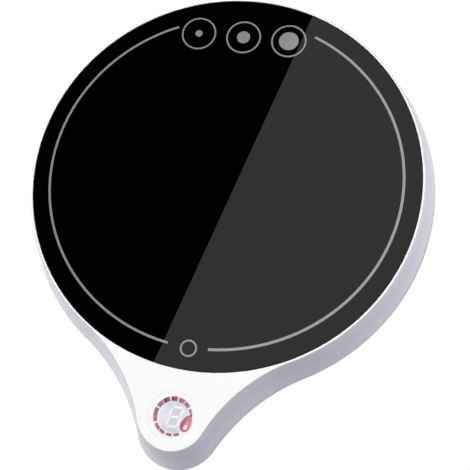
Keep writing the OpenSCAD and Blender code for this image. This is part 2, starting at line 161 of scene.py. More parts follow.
class Builder:
    def __init__(self):
        self.verts, self.faces = [], []

    def loop(self, xy, z):
        start = len(self.verts)
        self.verts += [(x * MM, (y + PLATE_Y) * MM, z * MM) for x, y in xy]
        return list(range(start, start + len(xy)))

    def circle(self, r, z, n=360, at=(0.0, 0.0)):
        return self.loop([(at[0] + r * math.cos(2 * math.pi * k / n), at[1] + r * math.sin(2 * math.pi * k / n))
                          for k in range(n)], z)

    def bridge(self, a, b):
        n = len(a)
        self.faces += [(a[k], a[(k + 1) % n], b[(k + 1) % n], b[k]) for k in range(n)]

    def stack(self, loops):
        for a, b in zip(loops, loops[1:]):
            self.bridge(a, b)

    def fill(self, loops):
        flat = [i for lp in loops for i in lp]
        tris = tessellate_polygon([[Vector(self.verts[i]) for i in lp] for lp in loops])
        self.faces += [tuple(flat[i] for i in t) for t in tris]


def ribbon(name, path, width, z0, z1, closed=False, round_ends=0):
    """Flat bar of the given width that follows path, a list of (x, y) in plate mm."""
    n = len(path)
    left, right = [], []
    for i in range(n):
        p = Vector(path[i])
        if closed:
            t = Vector(path[(i + 1) % n]) - Vector(path[i - 1])
        else:
            t = Vector(path[min(i + 1, n - 1)]) - Vector(path[max(i - 1, 0)])
        t.normalize()
        m = Vector((-t.y, t.x)) * width / 2
        left.append(p + m)
        right.append(p - m)
    b = Builder()
    if closed:
        top_l, top_r = b.loop([tuple(p) for p in left], z1), b.loop([tuple(p) for p in right], z1)
        low_l, low_r = b.loop([tuple(p) for p in left], z0), b.loop([tuple(p) for p in right], z0)
        for a, c in ((top_l, top_r), (top_r, low_r), (low_r, low_l), (low_l, top_l)):
            b.bridge(a, c)
    else:
        outline = [tuple(p) for p in left] + [tuple(p) for p in reversed(right)]
        top, low = b.loop(outline, z1), b.loop(outline, z0)
        b.bridge(low, top)
        for k in range(n - 1):
            for lp in (top, low):
                b.faces.append((lp[k], lp[k + 1], lp[2 * n - 2 - k], lp[2 * n - 1 - k]))
    return b


def build(name, builder, **kw):
    return add_object(name, builder.verts, builder.faces, **kw)


def merge(builders):
    out = Builder()
    for b in builders:
        base = len(out.verts)
        out.verts += b.verts
        out.faces += [tuple(i + base for i in f) for f in b.faces]
    return out


def slab(outline, z0, z1, holes=()):
    """Closed plate with the given outline and holes, in plate mm."""
    b = Builder()
    tops, lows = [], []
    for lp in [outline, *holes]:
        t, l = b.loop(lp, z1), b.loop(lp, z0)
        b.bridge(l, t)
        tops.append(t)
        lows.append(l)
    b.fill(tops)
    b.fill(lows)
    return b


# ---------------------------------------------------------------- node materials
class Mat:
    def __init__(self, name):
        self.mat = bpy.data.materials.new(name)
        self.mat.use_nodes = True
        self.nt = self.mat.node_tree
        self.nt.nodes.clear()
        self.out = self.nt.nodes.new("ShaderNodeOutputMaterial")
        self.bsdf = self.nt.nodes.new("ShaderNodeBsdfPrincipled")
        self.nt.links.new(self.bsdf.outputs[0], self.out.inputs[0])
        self.coord = self.nt.nodes.new("ShaderNodeTexCoord").outputs["Object"]

    def set(self, **kw):
        for k, v in kw.items():
            self.bsdf.inputs[k.replace("_", " ")].default_value = v
        return self

    def noise(self, scale, detail=2.0, rough=0.5, stretch=None):
        n = self.nt.nodes.new("ShaderNodeTexNoise")
        n.inputs["Scale"].default_value = scale
        n.inputs["Detail"].default_value = detail
        n.inputs["Roughness"].default_value = rough
        vec = self.coord
        if stretch:
            m = self.nt.nodes.new("ShaderNodeMapping")
            m.inputs["Scale"].default_value = stretch
            self.nt.links.new(self.coord, m.inputs["Vector"])
            vec = m.outputs[0]
        self.nt.links.new(vec, n.inputs["Vector"])
        return n.outputs["Fac"]

    def voronoi(self, scale, feature="F1"):
        n = self.nt.nodes.new("ShaderNodeTexVoronoi")
        n.feature = feature
        n.inputs["Scale"].default_value = scale
        self.nt.links.new(self.coord, n.inputs["Vector"])
        return n.outputs["Distance"]

    def ramp(self, fac, stops):
        n = self.nt.nodes.new("ShaderNodeValToRGB")
        el = n.color_ramp.elements
        while len(el) < len(stops):
            el.new(0.5)
        for e, (p, c) in zip(el, stops):
            e.position = p
            e.color = (*c, 1.0) if len(c) == 3 else c
        self.nt.links.new(fac, n.inputs["Fac"])
        return n.outputs["Color"]

    def rng(self, fac, lo, hi, flo=0.0, fhi=1.0):
        n = self.nt.nodes.new("ShaderNodeMapRange")
        n.inputs["From Min"].default_value = flo
        n.inputs["From Max"].default_value = fhi
        n.inputs["To Min"].default_value = lo
        n.inputs["To Max"].default_value = hi
        self.nt.links.new(fac, n.inputs["Value"])
        return n.outputs["Result"]

    def link(self, out, socket):
        self.nt.links.new(out, self.bsdf.inputs[socket])
        return self

    def bump(self, heights, strength=0.1, distance=0.00002):
        """heights: list of (socket, strength, distance); chained."""
        prev = None
        for h, s, d in heights:
            b = self.nt.nodes.new("ShaderNodeBump")
            b.inputs["Strength"].default_value = s
            b.inputs["Distance"].default_value = d
            self.nt.links.new(h, b.inputs["Height"])
            if prev is not None:
                self.nt.links.new(prev, b.inputs["Normal"])
            prev = b.outputs["Normal"]
        self.nt.links.new(prev, self.bsdf.inputs["Normal"])
        return self


def plastic(name, lo, hi, rough=(0.32, 0.42), grain=7000, grain_depth=0.000006, spec=0.5, patch=30):
    m = Mat(name)
    m.set(Specular_IOR_Level=spec, IOR=1.49)
    m.link(m.ramp(m.noise(patch, 3), [(0.3, lo), (0.7, hi)]), "Base Color")
    m.link(m.rng(m.noise(900, 3), *rough, 0.3, 0.7), "Roughness")
    m.bump([(m.noise(grain, 2), 0.35, grain_depth), (m.noise(grain / 12, 2), 0.15, grain_depth * 3)])
    return m.mat


def metal(name, lo, hi, rough=(0.22, 0.36), brushed=None, grain=3000):
    m = Mat(name)
    m.set(Metallic=1.0)
    src = m.noise(grain, 4, 0.6, stretch=brushed)
    m.link(m.ramp(src, [(0.3, lo), (0.7, hi)]), "Base Color")
    m.link(m.rng(src, *rough, 0.3, 0.7), "Roughness")
    m.bump([(src, 0.2, 0.000004)])
    return m.mat


def rubber(name, lo, hi):
    m = Mat(name)
    m.set(Specular_IOR_Level=0.4)
    m.link(m.ramp(m.noise(1500, 4), [(0.3, lo), (0.7, hi)]), "Base Color")
    m.link(m.rng(m.noise(400, 3), 0.55, 0.8, 0.3, 0.7), "Roughness")
    m.bump([(m.noise(5000, 3), 0.5, 0.00001), (m.voronoi(2500), 0.15, 0.00001)])
    return m.mat


M = {}


def away_from(m, azimuth):
    """Angle between the way the surface faces, seen from above, and an azimuth in degrees."""
    nt = m.nt
    normal = nt.nodes.new("ShaderNodeTexCoord").outputs["Normal"]
    turn = math.radians(azimuth)
    dots = []
    for v in ((math.cos(turn), math.sin(turn), 0), (-math.sin(turn), math.cos(turn), 0)):
        d = nt.nodes.new("ShaderNodeVectorMath")
        d.operation = "DOT_PRODUCT"
        nt.links.new(normal, d.inputs[0])
        d.inputs[1].default_value = v
        dots.append(d.outputs["Value"])
    at = nt.nodes.new("ShaderNodeMath")
    at.operation = "ARCTAN2"
    nt.links.new(dots[1], at.inputs[0])
    nt.links.new(dots[0], at.inputs[1])
    ab = nt.nodes.new("ShaderNodeMath")
    ab.operation = "ABSOLUTE"
    nt.links.new(at.outputs[0], ab.inputs[0])
    return ab.outputs[0]


def product(m, parts):
    out = parts[0]
    for q in parts[1:]:
        mul = m.nt.nodes.new("ShaderNodeMath")
        mul.operation = "MULTIPLY"
        m.nt.links.new(out, mul.inputs[0])
        m.nt.links.new(q, mul.inputs[1])
        out = mul.outputs[0]
    return out


def painted_edge_shade_mask(m, z):
    """Painted shade: 1 on the rounded edge of the top face where the wall turns out of sight, else 0."""
    ab = away_from(m, -38)
    return product(m, [m.rng(ab, 0, 1, math.radians(50), math.radians(68)),
                       m.rng(ab, 1, 0, math.radians(112), math.radians(130)),
                       m.rng(z, 1, 0, (TOP_Z - 0.030) * MM, (TOP_Z - 0.008) * MM),
                       m.rng(z, 0, 1, (TOP_Z - 0.50) * MM, (TOP_Z - 0.22) * MM)])


def painted_foot_shade(m, z):
    """Painted shade: 1 along the lowest part of the wall at one side of the plate, else 0."""
    return product(m, [m.rng(away_from(m, -6), 1, 0, math.radians(15), math.radians(30)),
                       m.rng(z, 1, 0, (LIFT + 0.95) * MM, (LIFT + 1.35) * MM)])


def painted_flank_light_mask(m, y, z):
    """Painted light: 1 on the wall between plate and tail at the other side, else 0."""
    return product(m, [m.rng(away_from(m, 218), 1, 0, math.radians(18), math.radians(32)),
                       m.rng(y, 0, 1, (PLATE_Y - 63) * MM, (PLATE_Y - 58) * MM),
                       m.rng(z, 1, 0, (TOP_Z - 0.8) * MM, (TOP_Z - 0.4) * MM)])


def painted_tip_shade_mask(m, y, z):
    """Painted shade: 1 on the upper part of the wall at one side of the tail's round end, else 0."""
    return product(m, [m.rng(away_from(m, 243), 1, 0, math.radians(34), math.radians(50)),
                       m.rng(y, 1, 0, (PLATE_Y - 66) * MM, (PLATE_Y - 61) * MM),
                       m.rng(z, 0, 1, (LIFT + 3.5) * MM, (LIFT + 9.5) * MM),
                       m.rng(z, 1, 0, (TOP_Z - 0.45) * MM, (TOP_Z - 0.25) * MM)])


def painted_front_light_mask(m, y, z):
    """Painted light: 1 on the wall of the plate and its flank at the front, else 0."""
    return product(m, [m.rng(away_from(m, 304), 1, 0, math.radians(8), math.radians(32)),
                       m.rng(y, 0, 1, (PLATE_Y - 61) * MM, (PLATE_Y - 55) * MM),
                       m.rng(z, 1, 0, (TOP_Z - 0.45) * MM, (TOP_Z - 0.25) * MM)])


h = Mat("housing_white")
h.set(Specular_IOR_Level=0.5, IOR=1.49)
hz = h.nt.nodes.new("ShaderNodeSeparateXYZ")
h.nt.links.new(h.coord, hz.inputs[0])
# painted light: the wall's colour is made a little lighter under its upper edge and over its lower third
wall = h.ramp(h.rng(hz.outputs["Z"], 0.0, 1.0, LIFT * MM, TOP_Z * MM),
              [(0.0, (0, 0, 0)), (0.05, (0.2, 0.2, 0.2)), (0.10, (0.88, 0.88, 0.88)), (0.32, (0.84, 0.84, 0.84)),
               (0.56, (0.06, 0.06, 0.06)), (0.72, (0.06, 0.06, 0.06)), (0.94, (0.55, 0.55, 0.55)), (0.975, (0, 0, 0))])
tone = h.rng(h.noise(30, 3), 0.60, 0.72, 0.3, 0.7)
# painted shade and painted light on the housing: the tone is darkened on the top face's rounded edge, along the wall's
# foot at one side and on the tail tip's upper wall, and lightened by the wall ramp, on the flank and at the front
for op, part in (("SUBTRACT", h.rng(painted_edge_shade_mask(h, hz.outputs["Z"]), 0.0, 0.45)), ("ADD", h.rng(wall, 0.0, 0.28)),
                 ("SUBTRACT", h.rng(painted_foot_shade(h, hz.outputs["Z"]), 0.0, 0.48)),
                 ("ADD", h.rng(painted_flank_light_mask(h, hz.outputs["Y"], hz.outputs["Z"]), 0.0, 0.16)),
                 ("SUBTRACT", h.rng(painted_tip_shade_mask(h, hz.outputs["Y"], hz.outputs["Z"]), 0.0, 0.22)),
                 ("ADD", h.rng(painted_front_light_mask(h, hz.outputs["Y"], hz.outputs["Z"]), 0.0, 0.14))):
    step = h.nt.nodes.new("ShaderNodeMath")
    step.operation = op
    h.nt.links.new(tone, step.inputs[0])
    h.nt.links.new(part, step.inputs[1])
    tone = step.outputs[0]
h.link(h.ramp(tone, [(0.10, (0.58, 0.58, 0.59)), (0.25, (0.60, 0.60, 0.61)), (0.60, (0.885, 0.885, 0.885)),
                     (0.72, (0.905, 0.905, 0.905)), (1.0, (0.985, 0.985, 0.985))]), "Base Color")
h.link(h.rng(h.noise(900, 3), 0.36, 0.44, 0.3, 0.7), "Roughness")
h.bump([(h.noise(5000, 2), 0.03, 0.000002), (h.noise(500, 2), 0.05, 0.000008)])
M["housing"] = h.mat
M["base"] = plastic("base_white", (0.84, 0.84, 0.85), (0.87, 0.87, 0.88), rough=(0.5, 0.62), grain=3500, grain_depth=0.00002)

g = Mat("plate_glass")
g.set(Specular_IOR_Level=0.5, IOR=1.5)
g.link(g.ramp(g.noise(18, 3), [(0.35, (0.00012, 0.00012, 0.00013)), (0.7, (0.00022, 0.00022, 0.00024))]), "Base Color")
g.link(g.rng(g.noise(55, 4, 0.62), 0.004, 0.011, 0.35, 0.75), "Roughness")
g.bump([(g.noise(35, 1), 0.03, 0.0000004)])
M["glass"] = g.mat

p = Mat("plate_print")
p.set(Specular_IOR_Level=0.5, IOR=2.2)
p.link(p.ramp(p.noise(5200, 3), [(0.3, (0.228, 0.228, 0.228)), (0.7, (0.255, 0.255, 0.255))]), "Base Color")
p.link(p.rng(p.noise(2500, 2), 0.10, 0.16, 0.3, 0.7), "Roughness")
p.bump([(p.noise(9000, 2), 0.3, 0.000005)])
M["print"] = p.mat

M["rubber"] = rubber("foot_rubber", (0.045, 0.045, 0.048), (0.075, 0.075, 0.08))
M["silicone"] = rubber("seal_silicone", (0.70, 0.69, 0.66), (0.80, 0.79, 0.77))
M["aluminium"] = metal("spreader_aluminium", (0.74, 0.75, 0.76), (0.84, 0.85, 0.86), brushed=(1, 30, 1))
M["steel"] = metal("screw_steel", (0.58, 0.59, 0.60), (0.74, 0.75, 0.76), rough=(0.25, 0.45))
M["sheet_steel"] = metal("clamp_steel", (0.52, 0.54, 0.56), (0.70, 0.71, 0.73), rough=(0.3, 0.5), grain=400)
M["track"] = metal("track_alloy", (0.40, 0.41, 0.43), (0.52, 0.53, 0.55))
M["nickel"] = metal("inlet_metal", (0.66, 0.66, 0.65), (0.78, 0.78, 0.77), rough=(0.16, 0.3), brushed=(1, 20, 1))
M["gold"] = metal("contact_gold", (0.80, 0.58, 0.24), (0.92, 0.70, 0.34), rough=(0.18, 0.3))
M["film"] = plastic("film_polyimide", (0.55, 0.28, 0.05), (0.68, 0.36, 0.08), rough=(0.15, 0.3))
M["mica"] = plastic("mica", (0.62, 0.55, 0.42), (0.78, 0.72, 0.60), rough=(0.35, 0.6), grain=1500, patch=400)
M["felt"] = plastic("felt", (0.74, 0.74, 0.71), (0.88, 0.88, 0.86), rough=(0.85, 0.95), grain=2500, grain_depth=0.0001, patch=900)
M["sleeve"] = plastic("lead_sleeve", (0.76, 0.75, 0.70), (0.88, 0.87, 0.84), rough=(0.7, 0.85), grain=5000, grain_depth=0.00004)
M["ceramic"] = plastic("fuse_ceramic", (0.72, 0.69, 0.62), (0.82, 0.80, 0.74), rough=(0.4, 0.6))
M["capacitor"] = plastic("capacitor_ceramic", (0.58, 0.44, 0.27), (0.70, 0.56, 0.36), rough=(0.35, 0.5), patch=700)
M["board"] = plastic("board_green", (0.02, 0.15, 0.06), (0.04, 0.21, 0.09), rough=(0.25, 0.4), patch=500)
M["chip"] = plastic("chip_black", (0.018, 0.018, 0.019), (0.03, 0.03, 0.031), rough=(0.45, 0.6), patch=900)
M["black"] = plastic("inlet_black", (0.012, 0.012, 0.012), (0.022, 0.022, 0.022), rough=(0.4, 0.55))
M["bead"] = plastic("sensor_epoxy", (0.05, 0.045, 0.04), (0.09, 0.08, 0.07), rough=(0.2, 0.35))
M["baffle"] = plastic("baffle_white", (0.86, 0.86, 0.86), (0.90, 0.90, 0.90), rough=(0.5, 0.6))
M["diffuser"] = plastic("diffuser_milk", (0.86, 0.86, 0.88), (0.90, 0.90, 0.92), rough=(0.5, 0.6))
M["led"] = plastic("led_red", (0.60, 0.10, 0.16), (0.75, 0.18, 0.24), rough=(0.12, 0.25))
M["wire"] = plastic("wire_red", (0.38, 0.03, 0.03), (0.48, 0.05, 0.05), rough=(0.3, 0.45))

# ---------------------------------------------------------------- materials of the CAD pieces
CAD_MATS = {
    "base_cover": "base", "rubber_feet": "rubber", "tail_foot": "rubber", "glass_gasket": "silicone",
    "heat_spreader": "aluminium", "heater_film": "film", "heating_track": "track", "mica_sheet": "mica",
    "insulation_felt": "felt", "clamp_plate": "sheet_steel", "clamp_screws": "steel", "thermistor": "bead",
    "sensor_leads": "sleeve", "thermal_fuse": "ceramic", "heater_leads": "sleeve", "control_board": "board",
    "microcontroller": "chip", "power_transistor": "chip", "board_capacitors": "capacitor",
    "board_screws": "steel", "touch_spring": "steel", "light_baffle": "baffle", "display_leds": "led",
    "diffuser_film": "diffuser", "inlet_board": "board", "inlet_shell": "nickel", "inlet_tongue": "black",
    "inlet_board_screws": "steel", "power_wires": "wire", "housing_screws": "steel",
    "glass_plate": "glass", "top_cover": "housing", "display_lens": "diffuser",
}
for node, key in CAD_MATS.items():
    obj = NODES[node]
    obj.data.materials.clear()
    obj.data.materials.append(M[key])
    obj.data.shade_smooth()
    obj.data.set_sharp_from_angle(angle=math.radians(30))
    weld = obj.modifiers.new("weld", "WELD")
    weld.merge_threshold = 1e-6


def place(obj, key, replaces=()):
    obj.data.materials.clear()
    obj.data.materials.append(M[key])
    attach(obj, BODY)
    if replaces:
        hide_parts(*replaces)
    return obj


# ---------------------------------------------------------------- glass plate
profile = [(0, GLASS_LOW), (GLASS_R - 0.4, GLASS_LOW)]
profile += arc_pts(GLASS_R - 0.4, GLASS_LOW + 0.4, 0.4, -90, 0, 5)[1:]
profile += arc_pts(GLASS_R - 0.22, GLASS_Z - 0.22, 0.22, 0, 90, 6)
profile += [(r, GLASS_Z) for r in (48.0, 44.0, 36.0, 24.0, 12.0)] + [(0, GLASS_Z)]
plate = lathe("glass_plate_body", profile, n=360, at=(0, PLATE_Y), closed=False)
place(plate, "glass", ["glass_plate"])

# ---------------------------------------------------------------- top cover
b = Builder()
rows = [(LIFT, grow(outline_at(WALL_H), -0.36)), (LIFT + 0.02, grow(outline_at(WALL_H), -0.24)),
        (LIFT + 0.08, grow(outline_at(WALL_H), -0.13)), (LIFT + 0.18, grow(outline_at(WALL_H), -0.06))]
rows += [(TOP_Z - d, outline_at(d)) for d in [WALL_H - 0.34 - (WALL_H - 0.34 - EDGE_D) * (i / 24) for i in range(25)]]
rows += [(TOP_Z - d, grow(TOP_O, o)) for d, o in ((0.15, 0.20), (0.10, 0.172), (0.055, 0.125), (0.022, 0.065), (0.005, 0.015), (0.0, -0.03))]
outer = [b.loop(drop_xy(o), z) for z, o in rows]
b.stack(outer)
seat = [b.circle(GLASS_R + 0.04 + o, z) for o, z in
        ((0.10, TOP_Z), (0.055, TOP_Z - 0.012), (0.02, TOP_Z - 0.045), (0.0, TOP_Z - 0.10))]
seat += [b.circle(GLASS_R + 0.04, GLASS_LOW - 0.4), b.circle(46.5, GLASS_LOW - 0.4), b.circle(46.5, GLASS_LOW - 1.9)]
b.stack(seat)
SKIN = TOP_Z - 1.6
lens_at = (0.0, LENS_Y)
lens_seat = [b.circle(LENS_R + 0.03 + o, z, 120, lens_at) for o, z in
             ((0.02, TOP_Z), (0.006, TOP_Z - 0.006), (0.0, TOP_Z - 0.02), (0.0, TOP_Z - 1.1))]
lens_seat += [b.circle(LENS_R - 0.55, TOP_Z - 1.1, 120, lens_at), b.circle(LENS_R - 0.55, SKIN, 120, lens_at)]
b.stack(lens_seat)
b.fill([outer[-1], seat[0], lens_seat[0]])
# inside of the wall, from the ledge down to the lower lip
LEDGE = GLASS_LOW - 1.9
inner_z = [LEDGE - (LEDGE - LIFT) * i / 8 for i in range(9)]
inner = [b.loop(drop_xy(grow(outline_at(TOP_Z - z), -WALL_T + (0.12 if z <= LIFT else 0.0))), z) for z in inner_z]
b.stack(inner)
b.bridge(inner[-1], outer[0])
# pocket above the control board, in the tail
ring_r = PLATE_R + 0.25
pts = drop_xy(grow(outline_at(1.6), -WALL_T))
start = max(range(len(pts)), key=lambda i: -pts[i][1])
keep = [i for i in range(len(pts)) if math.hypot(*pts[i]) > ring_r + 0.25 and pts[i][1] < -40]
keep.sort(key=lambda i: (i - start + len(pts) // 2) % len(pts))
tail_side = [pts[i] for i in keep]
a_end, a_start = math.atan2(tail_side[-1][1], tail_side[-1][0]), math.atan2(tail_side[0][1], tail_side[0][0])
back = [(ring_r * math.cos(a_end + (a_start - a_end) * i / 40), ring_r * math.sin(a_end + (a_start - a_end) * i / 40))
        for i in range(41)]
pocket_xy = tail_side + back
pocket = [b.loop(pocket_xy, LEDGE), b.loop(pocket_xy, SKIN)]
b.stack(pocket)
b.fill([pocket[1], lens_seat[-1]])
b.fill([inner[0], seat[-1], pocket[0]])
# bosses under the ledge
def boss(r, bore, z0, z1, x, y):
    loops = [b.circle(rr, z, 32, (x, y)) for rr, z in ((r, z1), (r, z0), (bore, z0), (bore, z1 - 0.2))]
    b.stack(loops)
    b.fill([loops[0]])
    b.fill([loops[-1]])
for ang in (50, 130, 230, 310):
    boss(2.4, 1.0, 4.2, LEDGE + 0.1, 48.6 * math.cos(math.radians(ang)), 48.6 * math.sin(math.radians(ang)))
for ang in (15, 165, 195, 345):
    boss(2.0, 0.85, 7.15, LEDGE + 0.1, 48.6 * math.cos(math.radians(ang)), 48.6 * math.sin(math.radians(ang)))
cover = build("top_cover_shell", b)


def stadium(w, h, n=16):
    pts = []
    for c, a0 in ((1, -90), (-1, 90)):
        for i in range(n + 1):
            a = math.radians(a0 + 180 * i / n)
            pts.append((c * (w - h) / 2 + h / 2 * math.cos(a), h / 2 * math.sin(a)))
    return pts


# opening of the power socket in the back wall
inlet_z = (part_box("inlet_shell")[0].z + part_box("inlet_shell")[1].z) / 2 / MM
sl = stadium(9.3, 3.62)
cut = Builder()
y_in, y_out = PLATE_Y + 46.0, PLATE_Y + 58.0
n = len(sl)
cut.verts = [(x * MM, y_in * MM, (z + inlet_z) * MM) for x, z in sl] + [(x * MM, y_out * MM, (z + inlet_z) * MM) for x, z in sl]
cut.faces = [tuple(range(n)), tuple(range(2 * n - 1, n - 1, -1))] + [(k, k + n, (k + 1) % n + n, (k + 1) % n) for k in range(n)]
cutter = build("inlet_cutter", cut, weighted=False)
for m in list(cover.modifiers):
    cover.modifiers.remove(m)
bo = cover.modifiers.new("inlet_cut", "BOOLEAN")
bo.operation = "DIFFERENCE"
bo.solver = "EXACT"
bo.object = cutter
bpy.context.view_layer.update()
cut_mesh = bpy.data.meshes.new_from_object(cover.evaluated_get(bpy.context.evaluated_depsgraph_get()))
cover.modifiers.clear()
cover.data = cut_mesh
bpy.data.objects.remove(cutter)
finish_shading(cover)
place(cover, "housing", ["top_cover"])

# ---------------------------------------------------------------- feet
def foot(name, r, x, y, top):
    prof = [(0, 0.18), (r - 1.5, 0.18), (r - 1.35, 0.0), (r - 0.45, 0.0)]
    prof += arc_pts(r - 0.35, 0.35, 0.35, -90, 0, 5)[1:]
    prof += [(r, top - 0.1), (r - 0.1, top), (0, top)]
    return lathe(name, prof, n=72, at=(x, y), closed=False)


feet = []
foot_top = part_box("rubber_feet")[1].z / MM
for k, ang in enumerate((45, 135, 225, 315)):
    feet.append(foot("rubber_foot_%d" % (k + 1), 5.0, 37 * math.cos(math.radians(ang)), PLATE_Y + 37 * math.sin(math.radians(ang)), foot_top))
for f in feet:
    place(f, "rubber", ["rubber_feet"])
place(foot("tail_foot_pad", 3.0, 0, PLATE_Y - LOW_TAIL_Y, foot_top), "rubber", ["tail_foot"])

# ---------------------------------------------------------------- marks printed on the glass
PRINT_TURN = math.radians(2.0)
PRINT_SHIFT = (-1.03, 0.0)
PZ0, PZ1 = GLASS_Z - 0.002, GLASS_Z + 0.018


def to_print(x, y):
    c, s = math.cos(PRINT_TURN), math.sin(PRINT_TURN)
    return (x * c - y * s + PRINT_SHIFT[0], x * s + y * c + PRINT_SHIFT[1])


RING_W = (0.59, 0.68)      # left and right arc
LINE_W = 0.42


def ring_arc(a0, a1, n):
    out = []
    for i in range(n + 1):
        a = math.radians(a0 + (a1 - a0) * i / n)
        out.append((-0.09 + 45.5 * math.cos(a), 0.10 + 44.55 * math.sin(a)))
    return out


ring = merge([ribbon("l", ring_arc(116.4, 264.1, 220), RING_W[0], PZ0, PZ1),
              ribbon("r", ring_arc(-83.2, 68.7, 226), RING_W[1], PZ0, PZ1)])
place(build("print_ring", ring, weighted=False), "print")


def circle_path(cx, cy, r, n=72):
    return [(cx + r * math.cos(2 * math.pi * k / n), cy + r * math.sin(2 * math.pi * k / n)) for k in range(n)]


# three round heat-level marks, with a growing spot each
for k, (px, spot) in enumerate(((-12.15, 0.95), (0.0, 1.75), (12.15, 2.6))):
    cx, cy = to_print(px, 39.25)
    parts = [ribbon("m", circle_path(cx, cy, 4.45), LINE_W, PZ0, PZ1, closed=True),
             slab(circle_path(cx, cy, spot, 48), PZ0, PZ1)]
    place(build("print_level_%d" % (k + 1), merge(parts), weighted=False), "print")

# one small open circle in the gap at the tail end of the ring
cx, cy = to_print(0.0, -44.7)
place(build("print_gap_mark", ribbon("m", circle_path(cx, cy, 1.9), LINE_W, PZ0, PZ1, closed=True), weighted=False), "print")

# ---------------------------------------------------------------- display window
def ink_tone(r, g, b):
    """Base colour that comes out as the given 8-bit tone on the top face."""
    out = []
    for v in (r, g, b):
        c = v / 255
        c = c / 12.92 if c <= 0.04045 else ((c + 0.055) / 1.055) ** 2.4
        out.append(min(0.95, c / 1.05))
    return tuple(out)


def off_middle(m, lo, hi, top):
    """0 along the middle of the display window, rising to top above and below it, lo to hi mm off."""
    nt = m.nt
    sep = nt.nodes.new("ShaderNodeSeparateXYZ")
    nt.links.new(m.coord, sep.inputs[0])
    off = nt.nodes.new("ShaderNodeMath")
    off.operation = "SUBTRACT"
    nt.links.new(sep.outputs["Y"], off.inputs[0])
    off.inputs[1].default_value = (PLATE_Y + LENS_Y) * MM
    size = nt.nodes.new("ShaderNodeMath")
    size.operation = "ABSOLUTE"
    nt.links.new(off.outputs[0], size.inputs[0])
    return m.rng(size.outputs[0], 0.0, top, lo * MM, hi * MM)


def window_ink(key, tones, scale=700, detail=2.0, rough=(0.16, 0.28), shade=None):
    m = Mat("display_" + key)
    m.set(Specular_IOR_Level=0.5, IOR=1.49)
    n = len(tones)
    stops = [(0.32 + 0.36 * k / max(1, n - 1), ink_tone(*t)) for k, t in enumerate(tones)]
    fac = m.noise(scale, detail)
    if shade:
        step = m.nt.nodes.new("ShaderNodeMath")
        step.operation = "SUBTRACT"
        m.nt.links.new(fac, step.inputs[0])
        m.nt.links.new(off_middle(m, *shade), step.inputs[1])
        fac = step.outputs[0]
    m.link(m.ramp(fac, stops), "Base Color")
    m.link(m.rng(m.noise(1200, 3), *rough, 0.3, 0.7), "Roughness")
    m.bump([(m.noise(6000, 2), 0.2, 0.000003)])
    M[key] = m.mat
    return m


window_ink("lens", [(245, 246, 246), (247, 248, 248)], 200)
window_ink("halo", [(246, 228, 239), (248, 240, 245)], 500)
window_ink("field", [(206, 207, 218), (222, 218, 229), (215, 221, 226), (231, 229, 238), (217, 214, 226)], 520, 4.0, shade=(1.7, 3.3, 0.17))
window_ink("cell", [(199, 202, 208), (206, 208, 214), (211, 207, 215)], 520, 2.0)
window_ink("bars", [(234, 238, 246), (244, 246, 251)], 700)
window_ink("bar_glow", [(198, 164, 186), (214, 186, 202)], 900)
window_ink("bar_night", [(94, 52, 95), (128, 78, 114), (160, 98, 134)], 1100)
window_ink("bar_mauve", [(132, 92, 114), (150, 110, 130), (168, 130, 147)], 1100)
window_ink("bar_red", [(152, 80, 98), (172, 100, 113), (196, 130, 134)], 900)
window_ink("bar_plum", [(122, 82, 110), (142, 104, 126), (164, 130, 148)], 1100)
window_ink("fringe", [(249, 210, 206), (252, 228, 226)], 700)
window_ink("touch_edge", [(146, 78, 106), (164, 96, 120), (182, 116, 138)], 800)
window_ink("touch_neck", [(190, 160, 160), (206, 184, 180)], 800)
window_ink("touch_tip", [(226, 224, 218), (242, 238, 234)], 800)

# body of the touch symbol: crimson on the plate's left, salmon on its right
tm = Mat("display_touch")
tm.set(Specular_IOR_Level=0.5, IOR=1.49)
sep = tm.nt.nodes.new("ShaderNodeSeparateXYZ")
tm.nt.links.new(tm.coord, sep.inputs[0])
tm.link(tm.ramp(tm.rng(sep.outputs["X"], 0.0, 1.0, 0.0026, 0.0051),
                [(0.0, ink_tone(170, 82, 112)), (0.35, ink_tone(186, 98, 128)), (0.6, ink_tone(194, 124, 146)), (1.0, ink_tone(214, 132, 130))]), "Base Color")
tm.link(tm.rng(tm.noise(1200, 3), 0.16, 0.28, 0.3, 0.7), "Roughness")
tm.bump([(tm.noise(3000, 2), 0.2, 0.000004)])
M["touch"] = tm.mat

DX, DY = 0.50, -61.40                  # middle of the display's print
RING_R = 4.36
prof = [(0, TOP_Z - 1.08), (LENS_R + 0.02, TOP_Z - 1.08), (LENS_R + 0.02, LENS_Z - 0.02)]
prof += arc_pts(LENS_R + 0.005, LENS_Z - 0.015, 0.015, 0, 90, 3)[1:] + [(LENS_R - 0.5, LENS_Z), (0, LENS_Z)]
lens = lathe("display_lens_window", prof, n=120, at=(0, PLATE_Y + LENS_Y), closed=False)
place(lens, "lens", ["display_lens"])
LZ = LENS_Z


def oval(cx, cy, a, b_, turn, n=48):
    out = []
    for k in range(n):
        t = 2 * math.pi * k / n
        x, y = a * math.cos(t), b_ * math.sin(t)
        out.append((cx + x * math.cos(turn) - y * math.sin(turn), cy + x * math.sin(turn) + y * math.cos(turn)))
    return out


def put(name, builders, key, z=None):
    return place(build(name, merge(builders), weighted=False), key)


put("display_halo", [ribbon("h", circle_path(DX, DY, RING_R, 120), 1.35, LZ - 0.003, LZ + 0.001, closed=True)], "halo")
put("display_field", [slab(circle_path(DX + 0.12, DY - 0.05, 3.72, 96), LZ - 0.003, LZ + 0.004)], "field")

# bars round the ring, 15 places of which three are under the touch symbol
groups = {"bar_night": [], "bar_mauve": [], "bar_red": [], "bar_plum": []}
fringe, glow = [], []
UNEVEN = (0.1, -0.7, 1.0, 2.0, 11.5, 0, 0, -0.3, -1.0, -1.5, 0.3, -1.8, 1.0, -0.5, 0.9)


def bar_path(mid, half, r):
    return [(DX + r * math.cos(math.radians(mid - half + 2 * half * i / 8)),
             DY + r * math.sin(math.radians(mid - half + 2 * half * i / 8))) for i in range(9)]


